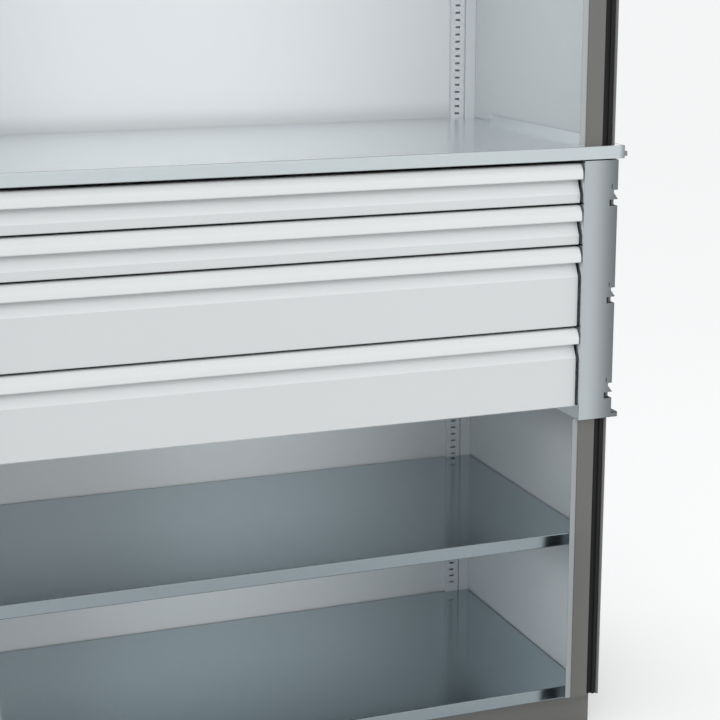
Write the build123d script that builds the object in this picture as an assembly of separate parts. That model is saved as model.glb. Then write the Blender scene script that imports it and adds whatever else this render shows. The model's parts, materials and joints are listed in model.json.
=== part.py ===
from build123d import *
import math
import os

# Heavy-duty steel storage cabinet, open in front, with a block of four drawers on telescopic
# runners between an upper and a lower compartment.
# Millimetres. +X is to the right of someone facing the cabinet, +Y goes into it, +Z is up.
# The origin is on the floor, at the middle of the width and of the overall depth.

# Carcass
CABINET_WIDTH = 1200.0
CABINET_HEIGHT = 1950.0
CARCASS_DEPTH = 550.0
PLINTH_HEIGHT = 75.0
PLINTH_SETBACK = 40.0
PLINTH_T = 2.0
PLINTH_FLANGE = 45.0
ROOF_HEIGHT = 40.0
ROOF_T = 1.5
ROOF_EDGE = 1.0
SHELL_T = 1.5
LINER_T = 1.0
BACK_T = 1.5
SIDE_THICKNESS = 32.0
REAR_RETURN = 28.0
BEND_IN_R = 1.0
SEAT_GAP = 0.5

# Front edge of each side, from the outside in: lip, seal channel, face, liner flange
OUTER_LIP_W = 6.0
SEAL_CHANNEL_W = 19.0
SEAL_CHANNEL_D = 10.0
FACE_W = 34.0
LINER_FLANGE_W = 11.0
SEAL_BASE_H = 5.0
SEAL_RIDGE_W = 8.5
SEAL_RIDGE_H = 9.0
SEAL_ROUND_R = 1.5
SEAL_SIDE_GAP = 0.2

# Slotted rear corner posts
POST_STRIP_W = 28.0
POST_GROOVE_W = 4.0
POST_GROOVE_D = 4.0
POST_PLAIN_W = 22.0
POST_DEPTH = 10.0
POST_T = 1.0
SLOT_W = 10.0
SLOT_H = 4.0
SLOT_PITCH = 14.5
SLOT_FIRST = 46.0

# Shelf, cabinet floor and cantilever brackets
SHELF_T = 1.2
SHELF_LIP = 25.0
SHELF_RETURN = 14.0
SHELF_BEND_R = 2.5
SHELF_SIDE_GAP = 2.0
SHELF_FRONT_GAP = 0.5
SHELF_ABOVE_SLOT = 9.0
SHELF_SLOT_COUNT = 19
BRACKET_T = 3.0
BRACKET_REACH = 400.0
BRACKET_ROOT_H = 46.0
BRACKET_TIP_H = 16.0
HOOK_H = 3.2
HOOK_DEEP = 2.5

# Drawer housing
HOUSING_T = 1.5
HOUSING_PROUD = 16.0
HOUSING_DEPTH = 527.0
HOUSING_BOTTOM = 625.0
HOUSING_HEIGHT = 501.0
PLATE_LIP = 24.0
LIP_RETURN = 9.0
LIP_FOOT_W = 5.0
LIP_FOOT_H = 9.0
LIP_FOOT_RISE = 2.0
NECK_GAP = 1.0
COVER_PAST_FACE = 7.0
COVER_BEHIND_LIP = 3.0
COVER_TOP_GAP = 2.0
COVER_WRAP = 26.0
EAR_PAST_SIDE = 11.0
EAR_BACK = 60.0
UPSTAND_H = 14.0
UPSTAND_BACK = 77.0
COVER_NOTCHES = 3
NOTCH_TOP_DROP = 97.0
NOTCH_PITCH = 178.0
NOTCH_W = 17.0
NOTCH_H = 11.5
TOOTH_TIP = 2.0
TOOTH_SHORT = 1.5
TOOTH_H = 14.5
UPPER_NOTCH_W = 10.5
UPPER_NOTCH_H = 17.0
NOTCH_SLIT_W = 1.5
NOTCH_SLIT_H = 8.5
NOTCH_SLIT_IN = 13.5
NOTCH_SLIT_RISE = 19.0
HOUSING_FLANGE = 34.0
FOOT_T = 1.5
FOOT_RIM_H = 9.0
FOOT_BEHIND_FACE = 2.5
FOOT_PAST_SIDE = 16.0
FOOT_CORNER_R = 12.0
TIE_H = 20.0
TIE_W = 26.0

# Drawers, from the top one down
DRAWER_STEP_H = 75.0
DRAWER_UNITS = (1, 1, 2, 2)
DRAWER_FLOOR_RISE = 24.0
FRONT_GAP = 4.0
FRONT_SIDE_GAP = 3.0
FRONT_T = 1.2
FRONT_BEHIND_COVER = 10.5
FRONT_BEND_R = 1.5
RECESS_D = 13.0
RECESS_TOP = 28.0
SLOPE_END = 55.0
FRONT_RETURN = 17.0
GRIP_T = 1.5
GRIP_NOSE = 10.0
GRIP_FLAT = 1.0
GRIP_SHOULDER = 13.0
GRIP_H = 27.5
GRIP_TOP_R = 9.0
GRIP_NOSE_R = 16.0
GRIP_EDGE_R = 3.0
GRIP_RETURN = 8.0
TRAY_T = 1.0
TRAY_DEPTH = 478.0
TRAY_RISE = 6.0
TRAY_DROP = 22.0
RIM_W = 6.0
RIM_H = 2.0

# Telescopic runners
RUNNER_LENGTH = 498.0
RUNNER_FRONT_GAP = 4.0
RUNNER_T = 13.0
RUNNER_RISE = 29.0
RAIL_T = 1.5
OUTER_RAIL_H = 45.0
OUTER_RAIL_W = 9.0
MIDDLE_RAIL_H = 35.0
MIDDLE_RAIL_W = 7.8
MIDDLE_RAIL_IN = 3.2
INNER_RAIL_H = 25.0
INNER_RAIL_W = 6.5
CAGE_T = 0.9
CAGE_LENGTH = 250.0
CAGE_WEB_GAP = 0.4
CAGE_LEG_W = 6.0
CAGE_BACK = 122.0
ROLLER_D = 2.9
ROLLER_LENGTH = 4.0
ROLLERS_PER_LEG = 2
ROLLER_SIDES = 8
ROLLER_END_SHARE = 0.06

# One overrun for every cut, and the shortest straight run kept between two rounded corners
CUT = 2.0
LEAST_RUN = 0.0001

# Planes that several pieces share
Y_LIP = -(CARCASS_DEPTH + HOUSING_PROUD) / 2
Y_FRONT = Y_LIP + HOUSING_PROUD
Y_REAR = Y_FRONT + CARCASS_DEPTH
Y_BACK = Y_REAR - SHELL_T - BACK_T
Y_SLOTS = Y_BACK - POST_DEPTH
Y_SHELF = Y_FRONT + SHELL_T + LINER_T + SHELF_FRONT_GAP
X_OUT = CABINET_WIDTH / 2
X_WALL = X_OUT - SIDE_THICKNESS
X_CHANNEL_OUT = X_OUT - OUTER_LIP_W
X_CHANNEL_IN = X_CHANNEL_OUT - SEAL_CHANNEL_W
X_FACE = X_CHANNEL_IN - FACE_W
X_OPENING = X_FACE - LINER_FLANGE_W
X_SHELF = X_WALL - SHELF_SIDE_GAP
X_POST_OUT = X_WALL - SEAT_GAP
X_GROOVE_OUT = X_POST_OUT - POST_PLAIN_W
X_GROOVE_IN = X_GROOVE_OUT - POST_GROOVE_W
X_POST_IN = X_GROOVE_IN - POST_STRIP_W
X_SLOTS = X_GROOVE_IN - POST_STRIP_W / 2
Z_SIDE_TOP = CABINET_HEIGHT - ROOF_HEIGHT
SIDE_HEIGHT = Z_SIDE_TOP - PLINTH_HEIGHT
FLOOR_TOP = PLINTH_HEIGHT + SHELF_LIP
SLOT_COUNT = int((SIDE_HEIGHT - SLOT_FIRST) / SLOT_PITCH)
HOUSING_TOP = HOUSING_BOTTOM + HOUSING_HEIGHT
Y_COVER = Y_LIP + COVER_BEHIND_LIP
X_COVER_IN = X_FACE - COVER_PAST_FACE
X_WRAP = X_OUT + SEAT_GAP
X_COVER_OUT = X_WRAP + HOUSING_T
X_HOUSING = X_COVER_IN + SEAT_GAP
X_FRONT = X_COVER_IN - FRONT_SIDE_GAP
Y_FACE = Y_COVER + FRONT_BEHIND_COVER
Y_TRAY = Y_FACE + RECESS_D + FRONT_T
X_TRAY = X_HOUSING - RUNNER_T
Y_RUNNER = Y_TRAY + RUNNER_FRONT_GAP

# Sketch planes: flat plan, upright across the cabinet (X, Z) and upright along its depth (Y, Z)
ACROSS = Plane(origin=(0, 0, 0), x_dir=(1, 0, 0), z_dir=(0, -1, 0))
ALONG = Plane(origin=(0, 0, 0), x_dir=(0, 1, 0), z_dir=(1, 0, 0))


def rounded_face(points, radii):
    """A closed outline through the corner points, each corner rounded to its own radius."""
    corners = [Vector(*p) for p in points]
    count = len(corners)
    starts = []
    ends = []
    heads = []
    for i, corner in enumerate(corners):
        come = (corner - corners[i - 1]).normalized()
        leave = (corners[(i + 1) % count] - corner).normalized()
        turn = math.radians(come.get_angle(leave))
        reach = radii[i] * math.tan(turn / 2)
        starts.append(corner - come * reach)
        ends.append(corner + leave * reach)
        heads.append(come)
    edges = []
    for i in range(count):
        if radii[i] > 0:
            edges.append(TangentArc(starts[i], ends[i], tangent=heads[i]))
        if (starts[(i + 1) % count] - ends[i]).length > LEAST_RUN:
            edges.append(Line(ends[i], starts[(i + 1) % count]))
    return make_face(edges)


def folded_face(points, thickness, bend, side=1, path_radii=None):
    """The section of a folded sheet. The points run along one of its faces, and the sheet lies
    to their left (side 1) or right (side -1). Each fold keeps the same thickness, and a radius of
    zero leaves it sharp."""
    path = [Vector(*p) for p in points]
    normals = []
    for a, b in zip(path, path[1:]):
        d = (b - a).normalized()
        normals.append(Vector(-d.Y, d.X) * side)
    other = [path[0] + normals[0] * thickness]
    near = [0]
    far = [0]
    for i in range(1, len(path) - 1):
        before, after = normals[i - 1], normals[i]
        other.append(path[i] + (before + after) * (thickness / (1 + before.dot(after))))
        towards = (path[i + 1] - path[i]).dot(before) > 0
        if path_radii:
            r = path_radii[i - 1]
        elif bend > 0:
            r = bend + thickness if towards else bend
        else:
            r = 0
        near.append(r)
        far.append(0 if r == 0 else r - thickness if towards else r + thickness)
    other.append(path[-1] + normals[-1] * thickness)
    near.append(0)
    far.append(0)
    ring = path + other[::-1]
    return rounded_face([(v.X, v.Y) for v in ring], near + far[::-1])


def standing(face, z0, z1):
    """A plan section raised from z0 to z1."""
    return extrude(Pos(0, 0, z0) * face, amount=z1 - z0, dir=(0, 0, 1))


def spanning(face, x_half):
    """A section along the depth, drawn out to both sides of the middle."""
    return extrude(Pos(-x_half, 0, 0) * (ALONG * face), amount=x_half + x_half, dir=(1, 0, 0))


def running(face, y0, length):
    """A section across the cabinet, drawn back from y0."""
    return extrude(Pos(0, y0, 0) * (ACROSS * face), amount=length, dir=(0, 1, 0))


def block(x0, x1, y0, y1, z0, z1):
    size = Box(x1 - x0, y1 - y0, z1 - z0)
    return Pos((x0 + x1) / 2, (y0 + y1) / 2, (z0 + z1) / 2) * size


def left_of(piece):
    return mirror(piece, about=Plane.YZ)


def save(name, *pieces):
    solids = []
    for piece in pieces:
        solids.extend(piece.solids())
    shape = solids[0] if len(solids) == 1 else Compound(solids)
    export_step(shape, "parts/" + name + ".step")


os.makedirs("parts", exist_ok=True)

# Side shells: one folded sheet each, with the seal channel rolled into the front edge
shell_path = [
    (X_OUT - REAR_RETURN, Y_REAR),
    (X_OUT, Y_REAR),
    (X_OUT, Y_FRONT),
    (X_CHANNEL_OUT, Y_FRONT),
    (X_CHANNEL_OUT, Y_FRONT + SEAL_CHANNEL_D),
    (X_CHANNEL_IN, Y_FRONT + SEAL_CHANNEL_D),
    (X_CHANNEL_IN, Y_FRONT),
    (X_FACE, Y_FRONT),
]
edge_r = BEND_IN_R + SHELL_T
shell_radii = [edge_r, edge_r, edge_r, 0, 0, edge_r]
side_shell = folded_face(shell_path, SHELL_T, BEND_IN_R, -1, shell_radii)
side_shell = standing(side_shell, PLINTH_HEIGHT, Z_SIDE_TOP)
save("right_side_shell", side_shell)
save("left_side_shell", left_of(side_shell))

# Inner liners: the walls of the compartments
y_liner = Y_FRONT + SHELL_T + LINER_T
x_liner = X_WALL + LINER_T
side_liner = block(X_WALL, x_liner, y_liner, Y_BACK, PLINTH_HEIGHT, Z_SIDE_TOP)
save("right_side_liner", side_liner)
save("left_side_liner", left_of(side_liner))

# Front trims: flat strips behind the front face that close the ends of the liners, cut away where
# the drawer housing passes through
front_trim = block(X_OPENING, x_liner, Y_FRONT + SHELL_T, y_liner, PLINTH_HEIGHT, Z_SIDE_TOP)
trim_notch = block(
    X_OPENING - CUT,
    X_FACE,
    Y_FRONT,
    Y_SHELF,
    HOUSING_BOTTOM - SEAT_GAP,
    HOUSING_TOP + SEAT_GAP,
)
front_trim = front_trim - trim_notch
save("right_front_trim", front_trim)
save("left_front_trim", left_of(front_trim))

# Rubber seals: a flat base in the channel with a rounded ridge along its outer half
seal_floor = Y_FRONT + SEAL_CHANNEL_D
seal_out = X_CHANNEL_OUT - SEAL_SIDE_GAP
seal_in = X_CHANNEL_IN + BEND_IN_R + SEAL_SIDE_GAP
seal_outline = [
    (seal_in, seal_floor),
    (seal_out - BEND_IN_R, seal_floor),
    (seal_out - BEND_IN_R, seal_floor - SEAL_RIDGE_H),
    (seal_out - SEAL_RIDGE_W, seal_floor - SEAL_RIDGE_H),
    (seal_out - SEAL_RIDGE_W, seal_floor - SEAL_BASE_H),
    (seal_in, seal_floor - SEAL_BASE_H),
]
seal_radii = [0, 0, SEAL_ROUND_R, SEAL_ROUND_R, SEAL_ROUND_R, SEAL_ROUND_R]
front_seal = standing(rounded_face(seal_outline, seal_radii), PLINTH_HEIGHT, Z_SIDE_TOP)
save("right_seal", front_seal)
save("left_seal", left_of(front_seal))

# Rear corner posts: a hat section with a ladder of slots in its inner strip
post_path = [
    (X_POST_IN, Y_BACK),
    (X_POST_IN, Y_SLOTS),
    (X_GROOVE_IN, Y_SLOTS),
    (X_GROOVE_IN, Y_SLOTS + POST_GROOVE_D),
    (X_GROOVE_OUT, Y_SLOTS + POST_GROOVE_D),
    (X_GROOVE_OUT, Y_SLOTS),
    (X_POST_OUT, Y_SLOTS),
    (X_POST_OUT, Y_BACK),
]
rear_post = standing(folded_face(post_path, POST_T, 0, 1), PLINTH_HEIGHT, Z_SIDE_TOP)
slot_heights = [PLINTH_HEIGHT + SLOT_FIRST + SLOT_PITCH * i for i in range(SLOT_COUNT)]
slots = [
    block(
        X_SLOTS - SLOT_W / 2,
        X_SLOTS + SLOT_W / 2,
        Y_SLOTS - CUT,
        Y_SLOTS + POST_T + CUT,
        z - SLOT_H / 2,
        z + SLOT_H / 2,
    )
    for z in slot_heights
]
rear_post = rear_post - slots
save("right_rear_post", rear_post)
save("left_rear_post", left_of(rear_post))

# Back panel, between the rear returns of the shells and the liners
x_back = X_OUT - SHELL_T - BEND_IN_R
save("back_panel", block(-x_back, x_back, Y_BACK, Y_BACK + BACK_T, PLINTH_HEIGHT, Z_SIDE_TOP))

# Roof cap: a deep-edged tray turned upside down on the sides
roof = block(-X_OUT, X_OUT, Y_FRONT, Y_REAR, Z_SIDE_TOP, CABINET_HEIGHT)
roof_edges = roof.edges().filter_by(Axis.Z) + roof.faces().sort_by(Axis.Z)[-1].edges()
roof = chamfer(roof_edges, ROOF_EDGE)
roof_hollow = block(
    -X_OUT + ROOF_T,
    X_OUT - ROOF_T,
    Y_FRONT + ROOF_T,
    Y_REAR - ROOF_T,
    Z_SIDE_TOP - CUT,
    CABINET_HEIGHT - ROOF_T,
)
save("roof_cap", roof - roof_hollow)

# Ceiling sheet, lying on the liners inside the roof cap
y_ceiling = Y_FRONT + SHELL_T
ceiling = block(-x_liner, x_liner, y_ceiling, Y_BACK + BACK_T, Z_SIDE_TOP, Z_SIDE_TOP + LINER_T)
save("ceiling_panel", ceiling)

# Plinth: channel rails under the front, the rear and both sides, set back at the front. The webs
# of the side rails cover the ends of the other two
plinth_front = Y_FRONT + PLINTH_SETBACK
x_plinth = X_OUT - PLINTH_T
front_path = [
    (plinth_front + PLINTH_FLANGE, PLINTH_HEIGHT),
    (plinth_front, PLINTH_HEIGHT),
    (plinth_front, 0),
    (plinth_front + PLINTH_FLANGE, 0),
]
save("plinth_front", spanning(folded_face(front_path, PLINTH_T, 0, 1), x_plinth))
rear_path = [
    (Y_REAR - PLINTH_FLANGE, PLINTH_HEIGHT),
    (Y_REAR, PLINTH_HEIGHT),
    (Y_REAR, 0),
    (Y_REAR - PLINTH_FLANGE, 0),
]
save("plinth_rear", spanning(folded_face(rear_path, PLINTH_T, 0, -1), x_plinth))
side_path = [
    (X_OUT - PLINTH_FLANGE, PLINTH_HEIGHT),
    (X_OUT, PLINTH_HEIGHT),
    (X_OUT, 0),
    (X_OUT - PLINTH_FLANGE, 0),
]
plinth_side = folded_face(side_path, PLINTH_T, 0, -1)
plinth_side = running(plinth_side, plinth_front, Y_REAR - plinth_front)
x_corner = X_OUT - PLINTH_FLANGE - CUT
for y0, y1 in (
    (plinth_front - CUT, plinth_front + PLINTH_FLANGE),
    (Y_REAR - PLINTH_FLANGE, Y_REAR + CUT),
):
    corner = block(x_corner, x_plinth, y0, y1, -CUT, PLINTH_HEIGHT + CUT)
    plinth_side = plinth_side - corner
save("plinth_sides", plinth_side, left_of(plinth_side))


def shelf_tray(top):
    """A shelf folded down on all four sides, with its rear corners cut round the posts."""
    rear = Y_BACK - SEAT_GAP
    tray = block(-X_SHELF, X_SHELF, Y_SHELF, rear, top - SHELF_LIP, top)
    front_edge = tray.faces().sort_by(Axis.Z)[-1].edges().sort_by(Axis.Y)[0]
    tray = fillet(front_edge, SHELF_BEND_R)
    hollow = block(
        -X_SHELF + SHELF_T,
        X_SHELF - SHELF_T,
        Y_SHELF + SHELF_T,
        rear - SHELF_T,
        top - SHELF_LIP - CUT,
        top - SHELF_T,
    )
    hollow_edge = hollow.faces().sort_by(Axis.Z)[-1].edges().sort_by(Axis.Y)[0]
    hollow = fillet(hollow_edge, SHELF_BEND_R - SHELF_T)
    tray = tray - hollow
    tray = tray + block(
        -X_SHELF + SHELF_T,
        X_SHELF - SHELF_T,
        Y_SHELF + SHELF_T,
        Y_SHELF + SHELF_RETURN,
        top - SHELF_LIP,
        top - SHELF_LIP + SHELF_T,
    )
    corner = block(
        X_POST_IN - SEAT_GAP,
        X_SHELF + CUT,
        Y_SLOTS - SEAT_GAP,
        rear + CUT,
        top - SHELF_LIP - CUT,
        top + CUT,
    )
    return tray - corner - left_of(corner)


def shelf_bracket(top, slot_z):
    """A tapered cantilever plate whose two hooks sit in the slots of the rear post."""
    under = top - SHELF_T
    seat = Y_SLOTS
    plate = [
        (seat, under),
        (seat - BRACKET_REACH, under),
        (seat - BRACKET_REACH, under - BRACKET_TIP_H),
        (seat, under - BRACKET_ROOT_H),
    ]
    face = rounded_face(plate, [0, 0, BRACKET_TIP_H / 2, 0])
    web = extrude(
        Pos(X_SLOTS - BRACKET_T / 2, 0, 0) * (ALONG * face), amount=BRACKET_T, dir=(1, 0, 0)
    )
    for z in (slot_z, slot_z - SLOT_PITCH - SLOT_PITCH):
        web = web + block(
            X_SLOTS - BRACKET_T / 2,
            X_SLOTS + BRACKET_T / 2,
            seat - CUT,
            seat + POST_T + HOOK_DEEP,
            z - HOOK_H / 2,
            z + HOOK_H / 2,
        )
    return web


save("floor_panel", shelf_tray(FLOOR_TOP))
shelf_slot = slot_heights[SHELF_SLOT_COUNT]
shelf_top = shelf_slot + SHELF_ABOVE_SLOT
bracket = shelf_bracket(shelf_top, shelf_slot)
save("lower_shelf", shelf_tray(shelf_top))
save("lower_shelf_brackets", bracket, left_of(bracket))

# Housing top plate: passes through the front opening, widens in front of the carcass, hooks round
# its front corners with two ears, is turned down into the lip over the top drawer and has a low
# upstand along each wall
plate_under = HOUSING_TOP - HOUSING_T
plate_rear = Y_BACK - SEAT_GAP
x_neck = X_FACE - NECK_GAP
x_ear = X_OUT + EAR_PAST_SIDE
lip_bend = BEND_IN_R + HOUSING_T
half_plate = [
    (0, plate_rear),
    (0, Y_LIP + lip_bend),
    (x_ear, Y_LIP + lip_bend),
    (x_ear, Y_FRONT + EAR_BACK),
    (X_WRAP, Y_FRONT + EAR_BACK),
    (X_WRAP, Y_FRONT),
    (x_neck, Y_FRONT),
    (x_neck, Y_SHELF),
    (X_SHELF, Y_SHELF),
    (X_SHELF, Y_SLOTS - SEAT_GAP),
    (X_POST_IN - SEAT_GAP, Y_SLOTS - SEAT_GAP),
    (X_POST_IN - SEAT_GAP, plate_rear),
]
plate = standing(rounded_face(half_plate, [0] * len(half_plate)), plate_under, HOUSING_TOP)
plate = plate + left_of(plate)
lip_path = [
    (Y_LIP + lip_bend + lip_bend, HOUSING_TOP),
    (Y_LIP, HOUSING_TOP),
    (Y_LIP, HOUSING_TOP - PLATE_LIP),
    (Y_LIP + LIP_RETURN, HOUSING_TOP - PLATE_LIP),
]
lip = spanning(folded_face(lip_path, HOUSING_T, BEND_IN_R, 1), x_ear)
foot_bottom = HOUSING_TOP - PLATE_LIP + lip_bend + LIP_FOOT_RISE
lip_foot = block(
    x_ear - CUT,
    x_ear + LIP_FOOT_W,
    Y_LIP,
    Y_LIP + HOUSING_T,
    foot_bottom,
    foot_bottom + LIP_FOOT_H,
)
upstand = block(
    X_SHELF - HOUSING_T,
    X_SHELF,
    Y_SHELF,
    Y_SLOTS - UPSTAND_BACK,
    plate_under,
    HOUSING_TOP + UPSTAND_H,
)
edges = lip_foot + upstand
save("housing_top", plate + lip + edges + left_of(edges))

# Housing sides: upright sheets that carry the runners, turned out behind the front covers and cut
# back round the lip
y_flange = Y_COVER + HOUSING_T
housing_path = [
    (X_HOUSING, Y_FRONT + HOUSING_DEPTH),
    (X_HOUSING, y_flange),
    (X_HOUSING + HOUSING_FLANGE, y_flange),
]
housing_side = folded_face(housing_path, HOUSING_T, BEND_IN_R, 1)
housing_side = standing(housing_side, HOUSING_BOTTOM, plate_under)
cover_top = HOUSING_TOP - PLATE_LIP - COVER_TOP_GAP
housing_side = housing_side - block(
    X_HOUSING - CUT,
    X_HOUSING + HOUSING_FLANGE + CUT,
    y_flange - CUT,
    Y_LIP + LIP_RETURN + CUT,
    cover_top,
    plate_under + CUT,
)
save("right_housing_side", housing_side)
save("left_housing_side", left_of(housing_side))

# Front covers: angle sections beside the drawers that wrap round the outside of the carcass. Across
# the fold each has three hook notches, two openings with a pointed tooth between them
cover_path = [
    (X_COVER_IN, Y_COVER),
    (X_COVER_OUT, Y_COVER),
    (X_COVER_OUT, Y_FRONT + COVER_WRAP),
]
cover = folded_face(cover_path, HOUSING_T, BEND_IN_R, 1)
cover = standing(cover, HOUSING_BOTTOM, cover_top)
x_past = X_COVER_OUT + CUT
for i in range(COVER_NOTCHES):
    z = HOUSING_TOP - NOTCH_TOP_DROP - NOTCH_PITCH * i
    x_upper = X_COVER_OUT - UPPER_NOTCH_W
    lower = [
        (X_COVER_OUT - NOTCH_W, z),
        (X_COVER_OUT - NOTCH_W, z - NOTCH_H),
        (x_past, z - NOTCH_H),
        (x_past, z),
    ]
    upper = [
        (x_past, z + TOOTH_TIP),
        (X_COVER_OUT - TOOTH_SHORT, z + TOOTH_TIP),
        (x_upper, z + TOOTH_H),
        (x_upper, z + UPPER_NOTCH_H),
        (x_past, z + UPPER_NOTCH_H),
    ]
    for outline in (lower, upper):
        notch = ACROSS * rounded_face(outline, [0] * len(outline))
        cover = cover - extrude(
            Pos(0, Y_COVER - CUT, 0) * notch, amount=HOUSING_PROUD + CUT, dir=(0, 1, 0)
        )
    x_slit = X_COVER_OUT - NOTCH_SLIT_IN
    slit = block(
        x_slit,
        x_slit + NOTCH_SLIT_W,
        Y_COVER - CUT,
        Y_COVER + HOUSING_T + CUT,
        z + NOTCH_SLIT_RISE,
        z + NOTCH_SLIT_RISE + NOTCH_SLIT_H,
    )
    cover = cover - slit
save("right_front_cover", cover)
save("left_front_cover", left_of(cover))

# Foot plates: ears on the outside of the covers with a rounded outer corner. Their edge is turned
# down in a rim that ends level with the lower edge of the cover
x_foot = X_OUT + FOOT_PAST_SIDE
y_foot = Y_COVER + FOOT_BEHIND_FACE
y_foot_end = Y_FRONT + EAR_BACK
foot_top = HOUSING_BOTTOM + FOOT_RIM_H
foot_outline = [
    (X_COVER_OUT, y_foot),
    (x_foot, y_foot),
    (x_foot, y_foot_end),
    (X_COVER_OUT, y_foot_end),
]
foot_inside = [
    (X_COVER_OUT - CUT, y_foot + FOOT_T),
    (x_foot - FOOT_T, y_foot + FOOT_T),
    (x_foot - FOOT_T, y_foot_end + CUT),
    (X_COVER_OUT - CUT, y_foot_end + CUT),
]
foot = rounded_face(foot_outline, [0, FOOT_CORNER_R, 0, 0])
foot_hollow = rounded_face(foot_inside, [0, FOOT_CORNER_R - FOOT_T, 0, 0])
foot = standing(foot, HOUSING_BOTTOM, foot_top)
foot = foot - standing(foot_hollow, HOUSING_BOTTOM - CUT, foot_top - FOOT_T)
save("cover_feet", foot, left_of(foot))

# Rear tie between the housing sides, an angle below the bottom drawer
y_tie = Y_FRONT + HOUSING_DEPTH
tie_path = [
    (y_tie - TIE_W, HOUSING_BOTTOM),
    (y_tie, HOUSING_BOTTOM),
    (y_tie, HOUSING_BOTTOM + TIE_H),
]
save("housing_tie", spanning(folded_face(tie_path, HOUSING_T, 0, 1), X_HOUSING))


def channel(x_open, x_web, z_mid, height):
    """A C section whose web stands at x_web and whose flanges reach to x_open."""
    path = [
        (x_open, z_mid + height / 2),
        (x_web, z_mid + height / 2),
        (x_web, z_mid - height / 2),
        (x_open, z_mid - height / 2),
    ]
    side = -1 if x_web > x_open else 1
    return folded_face(path, RAIL_T, 0, side)


def roller_cage(x_web, x_leg, z_mid, leg_mid, y0):
    """A thin U strip that keeps two rows of rollers between a pair of rail flanges."""
    inward = -1 if x_leg < x_web else 1
    path = [
        (x_leg, z_mid + leg_mid + CAGE_T / 2),
        (x_web, z_mid + leg_mid + CAGE_T / 2),
        (x_web, z_mid - leg_mid - CAGE_T / 2),
        (x_leg, z_mid - leg_mid - CAGE_T / 2),
    ]
    side = -1 if inward < 0 else 1
    cage = running(folded_face(path, CAGE_T, 0, side), y0, CAGE_LENGTH)
    first = CAGE_LENGTH * ROLLER_END_SHARE
    step = (CAGE_LENGTH - first - first) / (ROLLERS_PER_LEG - 1)
    roller = extrude(RegularPolygon(ROLLER_D / 2, ROLLER_SIDES), ROLLER_LENGTH / 2, both=True)
    roller = Rot(0, 90, 0) * roller
    x_roller = x_leg - inward * ROLLER_LENGTH / 2
    for i in range(ROLLERS_PER_LEG):
        for z in (z_mid - leg_mid, z_mid + leg_mid):
            cage = cage + Pos(x_roller, y0 + first + step * i, z) * roller
    return cage


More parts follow.
